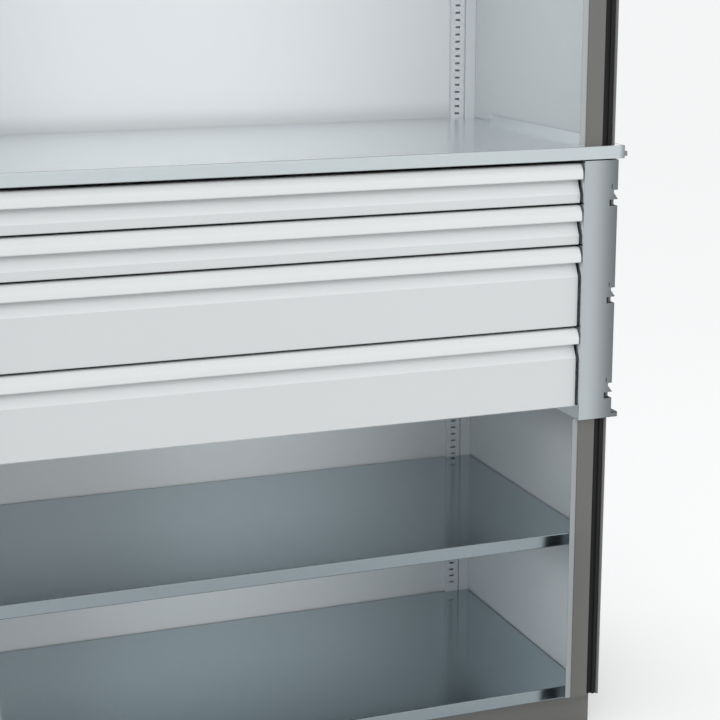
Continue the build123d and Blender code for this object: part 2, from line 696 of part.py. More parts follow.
# Drawers: tray, double-walled front, bull-nosed grip profile on its top strip, and the runner
# sections on both sides
outer_leg_mid = (OUTER_RAIL_H / 2 - RAIL_T + MIDDLE_RAIL_H / 2) / 2
inner_leg_mid = (MIDDLE_RAIL_H / 2 - RAIL_T + INNER_RAIL_H / 2) / 2
x_middle = X_HOUSING - MIDDLE_RAIL_IN
x_inner_tip = X_TRAY + INNER_RAIL_W
x_outer_cage = X_HOUSING - RAIL_T - CAGE_WEB_GAP
x_inner_cage = x_middle - RAIL_T - CAGE_WEB_GAP
y_inner = Y_FACE + RECESS_D
bottom = HOUSING_BOTTOM + DRAWER_FLOOR_RISE + DRAWER_STEP_H * sum(DRAWER_UNITS)
for number, units in enumerate(DRAWER_UNITS, 1):
    unit = DRAWER_STEP_H * units
    bottom = bottom - unit
    top = bottom + unit - FRONT_GAP
    name = "drawer_" + str(number)

    front_path = [
        (y_inner, top - RECESS_TOP),
        (Y_FACE, top - SLOPE_END),
        (Y_FACE, bottom),
        (Y_FACE + FRONT_RETURN, bottom),
    ]
    skin = spanning(folded_face(front_path, FRONT_T, FRONT_BEND_R, 1), X_FRONT)
    x_past = X_FRONT + CUT
    skin = skin - block(-x_past, x_past, y_inner, y_inner + CUT, top - SLOPE_END, top)
    inner_plate = block(-X_FRONT, X_FRONT, y_inner, Y_TRAY, bottom + FRONT_T, top - GRIP_T)
    save(name + "_front", skin, inner_plate)

    grip_path = [
        (Y_TRAY, top),
        (Y_FACE - GRIP_FLAT, top),
        (Y_FACE - GRIP_NOSE, top - GRIP_SHOULDER),
        (Y_FACE - GRIP_NOSE, top - GRIP_H),
        (Y_FACE - GRIP_NOSE + GRIP_RETURN, top - GRIP_H),
    ]
    grip_radii = [GRIP_TOP_R, GRIP_NOSE_R, GRIP_EDGE_R]
    grip = spanning(folded_face(grip_path, GRIP_T, GRIP_T, 1, grip_radii), X_FRONT)
    y_seam = Y_FACE - GRIP_FLAT
    ahead = block(-x_past, x_past, Y_LIP - CUT, y_seam, top - GRIP_H - CUT, top + CUT)
    save(name + "_grip", grip - ahead, grip & ahead)

    tray_bottom = bottom + TRAY_RISE
    tray_top = bottom + unit - TRAY_DROP
    tray_rear = Y_TRAY + TRAY_DEPTH
    tray = block(-X_TRAY, X_TRAY, Y_TRAY, tray_rear, tray_bottom, tray_top)
    well = block(
        -X_TRAY + TRAY_T,
        X_TRAY - TRAY_T,
        Y_TRAY + TRAY_T,
        tray_rear - TRAY_T,
        tray_bottom + TRAY_T,
        tray_top - RIM_H,
    )
    mouth = block(
        -X_TRAY + RIM_W,
        X_TRAY - RIM_W,
        Y_TRAY + RIM_W,
        tray_rear - RIM_W,
        tray_top - RIM_H - CUT,
        tray_top + CUT,
    )
    save(name + "_tray", tray - well - mouth)

    mid = bottom + RUNNER_RISE
    fixed = channel(X_HOUSING - OUTER_RAIL_W, X_HOUSING, mid, OUTER_RAIL_H)
    fixed = running(fixed, Y_RUNNER, RUNNER_LENGTH)
    save(name + "_cabinet_rails", fixed, left_of(fixed))
    middle = channel(x_middle - MIDDLE_RAIL_W, x_middle, mid, MIDDLE_RAIL_H)
    middle = running(middle, Y_RUNNER, RUNNER_LENGTH)
    save(name + "_middle_rails", middle, left_of(middle))
    inner = channel(x_inner_tip, X_TRAY, mid, INNER_RAIL_H)
    inner = running(inner, Y_RUNNER, RUNNER_LENGTH)
    save(name + "_tray_rails", inner, left_of(inner))
    y_cage = Y_RUNNER + CAGE_BACK
    outer_cage = roller_cage(x_outer_cage, x_outer_cage - CAGE_LEG_W, mid, outer_leg_mid, y_cage)
    save(name + "_outer_cages", outer_cage, left_of(outer_cage))
    inner_cage = roller_cage(x_inner_cage, x_inner_cage - CAGE_LEG_W, mid, inner_leg_mid, y_cage)
    save(name + "_inner_cages", inner_cage, left_of(inner_cage))
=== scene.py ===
# %% [markdown]
# # A heavy-duty steel cabinet, dressed for its portrait
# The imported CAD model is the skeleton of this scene. It already has every sheet of the cabinet in
# its right place, in metres, so this lesson is about what CAD leaves out: rolled edges that catch
# the light, the skin of powder coat, the grain of zinc-coated steel, and the light itself.

# %% Load the frame
import bpy
import bmesh
import json
import math
from mathutils import Matrix, Vector


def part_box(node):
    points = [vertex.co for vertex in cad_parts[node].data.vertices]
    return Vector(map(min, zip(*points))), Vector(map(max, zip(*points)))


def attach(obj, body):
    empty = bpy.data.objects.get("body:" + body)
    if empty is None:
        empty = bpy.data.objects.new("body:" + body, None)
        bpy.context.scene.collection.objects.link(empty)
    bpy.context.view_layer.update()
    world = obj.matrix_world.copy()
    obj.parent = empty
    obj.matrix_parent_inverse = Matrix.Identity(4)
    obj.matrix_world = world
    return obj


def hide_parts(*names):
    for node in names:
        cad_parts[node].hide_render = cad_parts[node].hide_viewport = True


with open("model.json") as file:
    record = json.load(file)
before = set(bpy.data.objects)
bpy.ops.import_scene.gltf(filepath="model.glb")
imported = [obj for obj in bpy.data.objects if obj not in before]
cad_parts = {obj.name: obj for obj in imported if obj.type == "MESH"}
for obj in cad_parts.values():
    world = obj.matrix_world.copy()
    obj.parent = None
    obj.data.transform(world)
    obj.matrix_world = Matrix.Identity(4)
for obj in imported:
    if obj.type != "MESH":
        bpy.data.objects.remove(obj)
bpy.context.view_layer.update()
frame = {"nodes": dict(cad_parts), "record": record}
nodes = frame["nodes"]
scene = bpy.context.scene

# %% [markdown]
# ## The camera
# The picture is taken from the left and a little above, so close that only the right half of the
# drawer block and the shelves below it are in view. Its uprights are nearly upright, which a long
# lens and a small downward shift of the frame give. The place of the camera was worked out from
# edges whose position on the cabinet is known.

# %% Camera
CAMERA_PLACE = (-0.937, -3.0459, 1.4804)
YAW = math.radians(20.69)
PITCH = math.radians(12.26)
SENSOR_WIDTH = 36.0
FOCAL_LENGTH = 88.05
FRAME_SHIFT = -0.05

camera_data = bpy.data.cameras.new("portrait_camera")
camera_data.sensor_width = SENSOR_WIDTH
camera_data.lens = FOCAL_LENGTH
camera_data.shift_y = FRAME_SHIFT
camera = bpy.data.objects.new("portrait_camera", camera_data)
scene.collection.objects.link(camera)
camera.location = CAMERA_PLACE
look = Vector((math.sin(YAW) * math.cos(PITCH), math.cos(YAW) * math.cos(PITCH), -math.sin(PITCH)))
camera.rotation_euler = look.to_track_quat("-Z", "Y").to_euler()
scene.camera = camera
scene.view_settings.view_transform = "Standard"
print("camera at", [round(v, 3) for v in camera.location])

# %% [markdown]
# ## The floor
# A studio floor runs far out, so that no edge of it shows. Here it is a large disc, laid a hair below the
# cabinet's foot so that the two never share a plane. It is no part of the cabinet.

# %% Floor
FLOOR_REACH = 60.0
FLOOR_DROP = 0.0005


def fresh():
    """Leaves edit mode and selects nothing, so that the next operator acts on its own piece."""
    if bpy.context.object and bpy.context.object.mode != "OBJECT":
        bpy.ops.object.mode_set(mode="OBJECT")
    bpy.ops.object.select_all(action="DESELECT")


fresh()
bpy.ops.mesh.primitive_circle_add(
    vertices=64, radius=FLOOR_REACH, fill_type="NGON", location=(0, 0, -FLOOR_DROP)
)
floor = bpy.context.object
floor.name = "studio_floor"
print(floor.name, "reaches out", FLOOR_REACH, "m")

# %% [markdown]
# ## The floor's paint
# The floor is pale, with painted shade on a round patch in front of the cabinet, where it is a little
# greyer, because the steel that faces the front mirrors that patch. How grey a point is depends on its
# distance from the middle of the patch. The helpers that are made for it serve every finish of this
# lesson.

# %% Floor paint
FLOOR_WHITE = (0.93, 0.93, 0.93, 1)
FLOOR_ROUGHNESS = 0.8
SHADE_PATCH_GREY = (0.72, 0.73, 0.73, 1)
PATCH_MIDDLE = (0.5, -2.2, 0.0)
PATCH_INNER = 0.8
PATCH_OUTER = 2.4


def new_material(name):
    """A new material, its node tree and its shader."""
    material = bpy.data.materials.new(name)
    material.use_nodes = True
    return material, material.node_tree, material.node_tree.nodes["Principled BSDF"]


def add(tree, kind, links=None, **settings):
    """A node with its settings made and its sockets linked or filled."""
    node = tree.nodes.new("ShaderNode" + kind)
    for key, value in settings.items():
        setattr(node, key, value)
    for key, value in (links or {}).items():
        if isinstance(value, bpy.types.NodeSocket):
            tree.links.new(value, node.inputs[key])
        else:
            node.inputs[key].default_value = value
    return node


def ramp(tree, value, start, end, low=0.0, high=1.0, kind="SMOOTHSTEP"):
    """A value that goes from low to high between two places, softly unless told otherwise."""
    limits = {"Value": value, "From Min": start, "From Max": end, "To Min": low, "To Max": high}
    return add(tree, "MapRange", limits, interpolation_type=kind).outputs["Result"]


def mix(tree, share, first, second, blend="MIX"):
    """A colour mixed from two others, the second with a share."""
    colours = {"Fac": share, "Color1": first, "Color2": second}
    return add(tree, "MixRGB", colours, blend_type=blend).outputs["Color"]


# Painted shade: the floor is greyer on a round patch in front of the cabinet.
floor_paint, tree, shader = new_material("studio_floor_paint")
where = add(tree, "TexCoord").outputs["Object"]
away = add(tree, "VectorMath", {0: where, 1: PATCH_MIDDLE}, operation="DISTANCE").outputs["Value"]
paleness = ramp(tree, away, PATCH_INNER, PATCH_OUTER)
tree.links.new(mix(tree, paleness, SHADE_PATCH_GREY, FLOOR_WHITE), shader.inputs["Base Color"])
shader.inputs["Roughness"].default_value = FLOOR_ROUGHNESS
floor.data.materials.append(floor_paint)
print(floor_paint.name, "is grey up to", PATCH_INNER, "m from the middle of its patch")

# %% [markdown]
# ## Soft light
# Most of the light comes from all round, which is what a world background gives. One wide panel in
# front and above adds a little direction, one low on the right reaches into the lower compartments,
# and one overhead draws the grips. Bright steel sees only the one overhead: the mirror images of
# the others would lie across the shelves as hard patches.

# %% Sky and panels
SKY_WHITE = (0.965, 0.98, 0.985, 1)
GRID_ANGLE = math.radians(120)
PLAIN_WHITE = (1.0, 1.0, 1.0)


def panel(name, place, aim, size, power, mirrored=False, colour=PLAIN_WHITE):
    """A soft box turned to look at a point. The grid in front of it keeps its edge off the floor."""
    light = bpy.data.lights.new(name, "AREA")
    light.shape = "RECTANGLE"
    light.size, light.size_y = size
    light.energy = power
    light.spread = GRID_ANGLE
    light.color = colour
    lamp = bpy.data.objects.new(name, light)
    scene.collection.objects.link(lamp)
    lamp.location = place
    lamp.rotation_euler = (Vector(aim) - Vector(place)).to_track_quat("-Z", "Y").to_euler()
    lamp.visible_camera = False
    lamp.visible_glossy = mirrored
    print(name, "gives", power, "W from", place)


sky = bpy.data.worlds.new("studio_sky")
sky.use_nodes = True
sky.node_tree.nodes["Background"].inputs["Color"].default_value = SKY_WHITE
scene.world = sky
panel("front_panel", place=(-0.6, -3.6, 2.9), aim=(0.1, 0.0, 1.0), size=(3.0, 1.6), power=18.5)
panel("low_panel", place=(2.1, -3.7, 1.15), aim=(-0.1, 0.0, 0.75), size=(2.6, 1.0), power=20.5)
panel(
    "overhead_panel",
    place=(-0.2, -1.6, 3.8),
    aim=(0.1, -0.28, 0.9),
    size=(2.0, 1.0),
    power=2.2,
    mirrored=True,
)

# %% [markdown]
# ## Light below the drawers
# A very weak lamp stands in each of the two lower compartments and keeps their far walls from going
# dull. What reaches them in the photograph has come by way of bluish sheet, so the lamps are cool.

# %% Lamps in the lower compartments
INSIDE_LAMP = (0.4, 0.12)
COOL_WHITE = (0.86, 0.96, 1.0)
for name, place, aim, power in (
    ("shelf_panel", (-0.05, -0.16, 0.55), (0.35, 0.28, 0.52), 0.15),
    ("floor_level_panel", (-0.45, -0.12, 0.24), (0.568, -0.10, 0.22), 0.42),
):
    panel(name, place, aim, INSIDE_LAMP, power, colour=COOL_WHITE)

# %% [markdown]
# ## A flag for the bright edge
# Near its end the bright front edge of the shelf has a dark mark: the mirror image of something dark
# beside it. A narrow flag on the right stands in for that, black on one side and grey on the other.
# Only reflections see it. It throws no shadow, and the camera looks through it.

# %% Flag
FLAG_PLACE = (0.582, -0.388, 0.185)
FLAG_SCALE = (0.074, 0.37, 1.0)
FLAG_TURN = (math.radians(90), 0, math.radians(27.3))
FLAG_BLACK = (0.01, 0.01, 0.01, 1)
FLAG_GREY = (0.30, 0.33, 0.35, 1)
FLAG_ROUGHNESS = 0.9
BLACK_ENDS = -0.06  # across the flag, whose edges are at -0.5 and 0.5
GREY_STARTS = 0.02


def place_along(tree, axis):
    """Where a point of a piece lies along an axis."""
    where = add(tree, "TexCoord").outputs["Object"]
    return add(tree, "SeparateXYZ", {"Vector": where}).outputs[axis]


fresh()
bpy.ops.mesh.primitive_plane_add(size=1.0, location=FLAG_PLACE)
flag = bpy.context.object
flag.name = "studio_flag"
flag.scale = FLAG_SCALE
flag.rotation_euler = FLAG_TURN
flag.visible_camera = flag.visible_diffuse = flag.visible_shadow = False
flag_cloth, tree, shader = new_material("studio_flag_cloth")
greyness = ramp(tree, place_along(tree, "X"), BLACK_ENDS, GREY_STARTS, kind="LINEAR")
tree.links.new(mix(tree, greyness, FLAG_BLACK, FLAG_GREY), shader.inputs["Base Color"])
shader.inputs["Roughness"].default_value = FLAG_ROUGHNESS
flag.data.materials.append(flag_cloth)
print(flag.name, "stands at", FLAG_PLACE)

# %% [markdown]
# ## Orange peel
# Four effects come back in many of the finishes. Each is a node group with named sockets, so that a
# finish only chooses how much of it to take. The first is the skin of powder coat, which flows out
# with a fine orange peel and is never quite even in colour. Noise of three sizes makes the ripple,
# the slow drift of the colour and the grit.

# %% Orange peel
CLOUD_SCALE = 2.3
GRIT_SCALE = 1600.0
CLOUD_GLOSS = 0.16
GRIT_GLOSS = 0.10


def new_group(name, inputs, outputs):
    """An empty node group, the sockets that come into it and the ones that go out."""
    group = bpy.data.node_groups.new(name, "ShaderNodeTree")
    for label, value in inputs.items():
        socket = group.interface.new_socket(name=label, in_out="INPUT", socket_type="NodeSocketFloat")
        socket.default_value = value
    for label in outputs:
        group.interface.new_socket(name=label, in_out="OUTPUT", socket_type="NodeSocketFloat")
    return group, group.nodes.new("NodeGroupInput").outputs, group.nodes.new("NodeGroupOutput").inputs


def maths(tree, operation, first, second=0.0):
    """The result of one sum."""
    return add(tree, "Math", {0: first, 1: second}, operation=operation).outputs[0]


def noise(tree, vector, scale, detail, roughness=0.5):
    """A grey noise of a scale."""
    inputs = {"Vector": vector, "Scale": scale, "Detail": detail, "Roughness": roughness}
    return add(tree, "TexNoise", inputs).outputs["Fac"]


def swing(tree, value, strength):
    """A value between 0 and 1, turned into one that swings both ways round 0."""
    return maths(tree, "MULTIPLY", maths(tree, "SUBTRACT", value, 0.5), strength)


peel, taken, given = new_group(
    "orange_peel",
    {"Peel Size": 420.0, "Unevenness": 0.03, "Speckle": 0.02},
    ["Shade", "Gloss", "Height"],
)
where = add(peel, "TexCoord").outputs["Object"]
ripple = noise(peel, where, taken["Peel Size"], detail=1.5)
cloud = noise(peel, where, CLOUD_SCALE, detail=3.0)
grit = noise(peel, where, GRIT_SCALE, detail=1.0)
drift = swing(peel, cloud, taken["Unevenness"])
fleck = swing(peel, grit, taken["Speckle"])
gloss = maths(peel, "ADD", swing(peel, cloud, CLOUD_GLOSS), swing(peel, grit, GRIT_GLOSS))
peel.links.new(maths(peel, "ADD", maths(peel, "ADD", drift, fleck), 1.0), given["Shade"])
peel.links.new(gloss, given["Gloss"])
peel.links.new(ripple, given["Height"])
print(peel.name, "has", len(peel.nodes), "nodes")

# %% [markdown]
# ## Rolled sheet
# Sheet steel has faint streaks along the way that it was rolled, and its zinc coat is grown together
# from crystals that each catch the light a little differently. The streaks are noise that is drawn
# out along the sheet. The crystals are the cells of a Voronoi pattern, warped so that their borders
# aren't straight.

# %% Rolled sheet
STREAK_SCALE = (3.0, 260.0, 260.0)
SMEAR_SCALE = 4.0
SMEAR_GLOSS = 0.12
WARP_SCALE = 40.0
WARP = 0.012

rolled, taken, given = new_group(
    "rolled_sheet",
    {"Spangle": 0.02, "Streak": 0.03, "Crystal Size": 90.0},
    ["Shade", "Gloss", "Height"],
)
where = add(rolled, "TexCoord").outputs["Object"]
bent = add(rolled, "TexNoise", {"Vector": where, "Scale": WARP_SCALE, "Detail": 1.0}).outputs["Color"]
warped = mix(rolled, WARP, where, bent, "ADD")
cells = add(rolled, "TexVoronoi", {"Vector": warped, "Scale": taken["Crystal Size"]}).outputs["Color"]
crystal = add(rolled, "SeparateColor", {"Color": cells}).outputs[0]
drawn_out = add(rolled, "Mapping", {"Vector": where, "Scale": STREAK_SCALE}).outputs["Vector"]
streak = noise(rolled, drawn_out, 1.0, detail=3.0, roughness=0.6)
smear = noise(rolled, where, SMEAR_SCALE, detail=4.0, roughness=0.6)
flake = swing(rolled, crystal, taken["Spangle"])
line = swing(rolled, streak, taken["Streak"])
gloss = maths(rolled, "ADD", flake, swing(rolled, smear, SMEAR_GLOSS))
rolled.links.new(maths(rolled, "ADD", maths(rolled, "ADD", flake, line), 1.0), given["Shade"])
rolled.links.new(maths(rolled, "ADD", gloss, line), given["Gloss"])
rolled.links.new(streak, given["Height"])
print(rolled.name, "has", len(rolled.nodes), "nodes")

# %% [markdown]
# ## Painted shade on folds, and dust
# Where a zinc-coated sheet is folded, its colour is darkened as painted shade, which dims the mirrored
# highlight along the bend. The zinc-coated flats of this cabinet lie square to its axes, so a fold is
# where the surface faces along none of them. Dust settles in drifts on whatever faces up.

# %% Painted fold shade and settled dust
FLAT_FACING = 0.98
FOLD_FACING = 0.80
DUST_STARTS = 0.6
DRIFT_SCALE = 9.0
DRIFT_THIN = 0.35
DRIFT_THICK = 0.75


def facing(tree, axis):
    """How much a surface faces along an axis, from -1 to 1."""
    normal = add(tree, "NewGeometry").outputs["Normal"]
    return add(tree, "SeparateXYZ", {"Vector": normal}).outputs[axis]


# Painted shade on folds: a darker colour where the surface faces along none of the axes.
folds, taken, given = new_group("dulled_folds", {"Loss": 0.25}, ["Shade"])
along_x, along_y, along_z = [maths(folds, "ABSOLUTE", facing(folds, axis)) for axis in "XYZ"]
square = maths(folds, "MAXIMUM", maths(folds, "MAXIMUM", along_x, along_y), along_z)
bend = ramp(folds, square, FLAT_FACING, FOLD_FACING, kind="LINEAR")
loss = maths(folds, "MULTIPLY", bend, taken["Loss"])
folds.links.new(maths(folds, "SUBTRACT", 1.0, loss), given["Shade"])

dust, taken, given = new_group("settled_dust", {"Amount": 0.1}, ["Mask"])
upward = ramp(dust, facing(dust, "Z"), DUST_STARTS, FLAT_FACING, kind="LINEAR")
where = add(dust, "TexCoord").outputs["Object"]
cloud = noise(dust, where, DRIFT_SCALE, detail=5.0, roughness=0.65)
drift = ramp(dust, cloud, DRIFT_THIN, DRIFT_THICK, kind="LINEAR")
mask = maths(dust, "MULTIPLY", upward, drift)
dust.links.new(maths(dust, "MULTIPLY", mask, taken["Amount"]), given["Mask"])
print(folds.name, "and", dust.name, "have", len(folds.nodes), "and", len(dust.nodes), "nodes")

# %% [markdown]
# ## Paint
# All paint on the cabinet is the same kind of powder coat in a few greys, so one function makes it.
# A number that is the same all over goes straight onto the shader, and only what changes over the
# surface comes from the groups.

# %% Paints
DUST_COLOUR = (0.62, 0.61, 0.59, 1)
# How much painted shade darkens the folds of rolled zinc.
FOLD_LOSS = 0.3
PEEL_DEPTH = 0.0004


def group_node(tree, group, **amounts):
    """The outputs of a group with its amounts filled in."""
    node = tree.nodes.new("ShaderNodeGroup")
    node.node_tree = group
    for label, value in amounts.items():
        node.inputs[label.replace("_", " ")].default_value = value
    return node.outputs


def make_finish(name, colour, rough, effect, dusty, relief, metallic=0.0, specular=0.5, **amounts):
    """A finish whose colour, roughness and relief come from one of the shared effects."""
    material, tree, shader = new_material(name)
    shader.inputs["Metallic"].default_value = metallic
    shader.inputs["Specular IOR Level"].default_value = specular
    grain = group_node(tree, effect, **amounts)
    haze = group_node(tree, dust, Amount=dusty)["Mask"]
    coat = grain["Shade"]
    # Rolled zinc gets painted shade on its folds.
    if effect == rolled:
        coat = maths(tree, "MULTIPLY", coat, group_node(tree, folds, Loss=FOLD_LOSS)["Shade"])
    tint = mix(tree, 1.0, (*colour, 1), coat, "MULTIPLY")
    matt = maths(tree, "ADD", maths(tree, "ADD", grain["Gloss"], rough), haze)
    strength, depth = relief
    skin = add(tree, "Bump", {"Height": grain["Height"], "Strength": strength, "Distance": depth})
    tree.links.new(mix(tree, haze, tint, DUST_COLOUR), shader.inputs["Base Color"])
    tree.links.new(matt, shader.inputs["Roughness"])
    tree.links.new(skin.outputs["Normal"], shader.inputs["Normal"])
    print(name, colour)
    return material


def powder_coat(name, colour, rough, ripple, dusty=0.02):
    """A paint with the orange peel as deep as the ripple asks for."""
    return make_finish(name, colour, rough, peel, dusty, (ripple, PEEL_DEPTH))


drawer_paint = powder_coat("drawer_paint", (0.475, 0.487, 0.493), rough=0.36, ripple=0.10)
# The grips are the drawer paint made paler, as painted light.
grip_paint = powder_coat("grip_paint", (0.54, 0.55, 0.555), rough=0.32, ripple=0.08)
wall_paint = powder_coat("wall_paint", (0.67, 0.702, 0.72), rough=0.48, ripple=0.12)
back_paint = powder_coat("back_paint", (0.715, 0.74, 0.75), rough=0.48, ripple=0.12)
trim_paint = powder_coat("trim_paint", (0.275, 0.29, 0.30), rough=0.45, ripple=0.12)
frame_paint = powder_coat("frame_paint", (0.103, 0.101, 0.097), rough=0.42, ripple=0.14, dusty=0.04)

# %% [markdown]
# ## Zinc, steel and rubber
# The zinc-coated plates and the runners are bare metal: their colour is the colour of what they reflect,
# and the base colour only tints it. The runners are drawn so smooth that crystals and streaks hardly
# show. The ears under the covers are dull enough to pass for painted, and their dark colour is painted
# shade. The seals are rubber with a fine grain.

# %% Metals and rubber
SHEET_DEPTH = 0.0001


def bare_metal(name, colour, rough, grain, dusty=0.03, **amounts):
    """A rolled and coated metal with its grain as strong as asked for."""
    relief = (grain, SHEET_DEPTH)
    return make_finish(name, colour, rough, rolled, dusty, relief, metallic=1.0, **amounts)


plain = {"Spangle": 0.006, "Streak": 0.008}
drawn = {"Spangle": 0.01, "Streak": 0.02}
zinc = bare_metal("housing_zinc", (0.88, 0.905, 0.92), rough=0.22, grain=0.01)
shelf_zinc = bare_metal("shelf_zinc", (0.485, 0.565, 0.605), rough=0.12, grain=0.01)
cover_zinc = bare_metal("cover_zinc", (0.485, 0.525, 0.545), rough=0.30, grain=0.004, **plain)
runner_steel = bare_metal("runner_steel", (0.66, 0.66, 0.65), rough=0.30, grain=0.006, dusty=0.0, **drawn)
cage_steel = bare_metal("cage_steel", (0.62, 0.58, 0.49), rough=0.34, grain=0.006, dusty=0.0, **drawn)
# The ears' dark zinc is painted shade.
foot_zinc = make_finish(
    "foot_zinc",
    (0.12, 0.127, 0.13),
    rough=0.42,
    effect=rolled,
    dusty=0.02,
    relief=(0.02, 0.0002),
    specular=0.2,
    Spangle=0.05,
)
seal_rubber = make_finish(
    "seal_rubber",
    (0.010, 0.010, 0.011),
    rough=0.60,
    effect=peel,
    dusty=0.01,
    relief=(0.2, 0.0003),
    specular=0.2,
    Peel_Size=900.0,
    Speckle=0.2,
)

# %% [markdown]
# ## Painted shade towards an edge
# Some sheets get darker towards an edge, and this is painted shade and painted reflection. The covers and
# the plate's lip mirror something dark at the side, folds that face the front mirror the floor, the decks
# end in a painted dark line along the walls, the tops of the ears under the covers are painted darker,
# and the trim strips lose light beside the drawers. A grade paints the shade into the finish itself
# there. It is given an edge from the frame and two distances before it, and the shade grows from the
# first to the last.

# %% Grades
REAR_GAP = 0.004
WHITE = (1, 1, 1, 1)
LIP_SHADE = (0.70, 0.738, 0.745)
TRIM_SHADE = (0.86, 0.87, 0.875)


def grey(value):
    """A grey shade."""
    return (value, value, value)


def shade_by(material, factor):
    """Multiplies the colour of a finish by a value or by a colour."""
    tree = material.node_tree
    base = tree.nodes["Principled BSDF"].inputs["Base Color"]
    tree.links.new(mix(tree, 1.0, base.links[0].from_socket, factor, "MULTIPLY"), base)


def grade(material, axis, edge, first, last, shade, way=0):
    """Paints shade into a finish towards an edge that lies along an axis, against it, or out from the
    middle.
    """
    tree = material.node_tree
    along = maths(tree, "MULTIPLY" if way else "ABSOLUTE", place_along(tree, axis), way)
    reached = ramp(tree, along, edge - first, edge - last)
    shade_by(material, mix(tree, reached, WHITE, (*shade, 1)))
    print(material.name, "is shaded along", axis, "over", round(1000 * (first - last), 1), "mm")


shelf_low, shelf_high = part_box("lower_shelf")
plate_low, plate_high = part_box("housing_top")
cover_low, cover_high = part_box("right_front_cover")
ears_low, ears_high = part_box("cover_feet")
deck_rear = shelf_high.y - REAR_GAP
# Painted shade and painted reflection towards the edges of decks, covers, lip, ears and trim.
grade(shelf_zinc, "X", shelf_high.x, first=0.0032, last=0.0014, shade=grey(0.25))
grade(shelf_zinc, "Y", deck_rear, first=0.0032, last=0.0014, shade=grey(0.25), way=1)
grade(shelf_zinc, "Y", -shelf_low.y, first=0.0025, last=0.0005, shade=grey(0.62), way=-1)
grade(cover_zinc, "X", cover_high.x, first=0.057, last=-0.003, shade=grey(0.37))
grade(zinc, "X", plate_high.x, first=0.018, last=0.003, shade=grey(0.40))
grade(zinc, "Y", -plate_low.y, first=0.0015, last=0.0003, shade=LIP_SHADE, way=-1)
grade(foot_zinc, "Z", ears_high.z, first=0.0025, last=0.0005, shade=grey(0.35), way=1)
grade(trim_paint, "Z", -cover_low.z, first=0.475, last=0.025, shade=TRIM_SHADE, way=-1)

# %% [markdown]
# ## Dim corners
# Painted shade gathers in corners: on the back panel just above the plate, and on the walls just below
# the drawers and the shelf. The leaning part of each drawer front looks up at the light and is painted a
# little paler than the rest, as painted light. These painted shades depend on the height, or on the way
# that the sheet faces.

# %% Dim corners and leaning sheet
UPSTAND = 0.014
HIDDEN_FROM = 0.1
HIDDEN_TO = 0.2
PLATE_EDGE = 0.01
FACES_FRONT = (-0.8, -0.2)
UPRIGHT_ENDS = (0.2, 0.35)
LEVEL_STARTS = (0.6, 0.8)


def gloom(material, height, reach, loss):
    """Shades the front of a finish just above a plate, and not where the drawers hide it below."""
    tree = material.node_tree
    close = ramp(tree, place_along(tree, "Z"), height, height + reach, loss, 0.0)
    seen = ramp(tree, place_along(tree, "Z"), height - HIDDEN_TO, height - HIDDEN_FROM)
    front = ramp(tree, facing(tree, "Y"), *FACES_FRONT, 1.0, 0.0)
    mask = maths(tree, "MULTIPLY", maths(tree, "MULTIPLY", close, seen), front)
    shade_by(material, maths(tree, "SUBTRACT", 1.0, mask))
    print(material.name, "is dim above", round(height, 3), "m")


def overhang(material, height, reach, loss):
    """Shades a finish just below a plate, which keeps the light off it."""
    tree = material.node_tree
    close = ramp(tree, place_along(tree, "Z"), height - reach, height, 0.0, loss)
    below = ramp(tree, place_along(tree, "Z"), height, height + PLATE_EDGE, 1.0, 0.0)
    shade_by(material, maths(tree, "SUBTRACT", 1.0, maths(tree, "MULTIPLY", close, below)))
    print(material.name, "is dim below", round(height, 3), "m")


def lean(material, gain):
    """Lifts a finish with painted light where the sheet leans back, between an upright face and a level
    one.
    """
    tree = material.node_tree
    from_upright = ramp(tree, facing(tree, "Z"), *UPRIGHT_ENDS, 0.0, gain)
    from_level = ramp(tree, facing(tree, "Z"), *LEVEL_STARTS, 1.0, 0.0)
    shade_by(material, maths(tree, "ADD", maths(tree, "MULTIPLY", from_upright, from_level), 1.0))
    print(material.name, "is paler by", gain, "where it leans")


# Painted shade in the corners, and painted light on the leaning drawer fronts.
gloom(back_paint, plate_high.z - UPSTAND, reach=0.040, loss=0.22)
overhang(wall_paint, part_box("right_housing_side")[0].z, reach=0.10, loss=0.24)
overhang(wall_paint, shelf_low.z, reach=0.12, loss=0.32)
lean(drawer_paint, gain=0.17)

# %% [markdown]
# ## Every sheet gets its finish
# The record names a finish for each piece of the cabinet. A few pieces get finishes of their own, which
# carry painted light and shade, so they are listed apart: the covers with a painted reflection, the ears
# below them with painted shade, and the grips, painted paler as painted light.

# %% Finishes on the CAD nodes
DRAWERS = sorted(name.removesuffix("_grip") for name in nodes if name.endswith("_grip"))
finish_of = {
    "drawer_paint": drawer_paint,
    "wall_paint": wall_paint,
    "back_paint": back_paint,
    "trim_paint": trim_paint,
    "frame_paint": frame_paint,
    "galvanized": zinc,
    "shelf_zinc": shelf_zinc,
    "runner_steel": runner_steel,
    "cage_steel": cage_steel,
    "seal_rubber": seal_rubber,
}
own_finish = {
    "right_front_cover": cover_zinc,
    "left_front_cover": cover_zinc,
    "cover_feet": foot_zinc,
    **{drawer + "_grip": grip_paint for drawer in DRAWERS},
}
slot_of = {part["node"]: part["material_slot"] for part in frame["record"]["subparts"]}
for name, node in nodes.items():
    if not node.material_slots:
        node.data.materials.append(None)
    for holder in node.material_slots:
        holder.link = "OBJECT"
        holder.material = own_finish.get(name, finish_of[slot_of[name]])
print("finishes on", len(nodes), "nodes, with", len(DRAWERS), "drawers")

# %% [markdown]
# ## Holding a piece
# The pieces are modelled with the same operators that a hand at the screen would use. Each of them
# acts on what is selected, so the first tools open one piece, pick points of it by their place, and
# turn the right side of a sheet outward when it is done.

# %% Tools for picking
SAME_PLACE = 1e-5


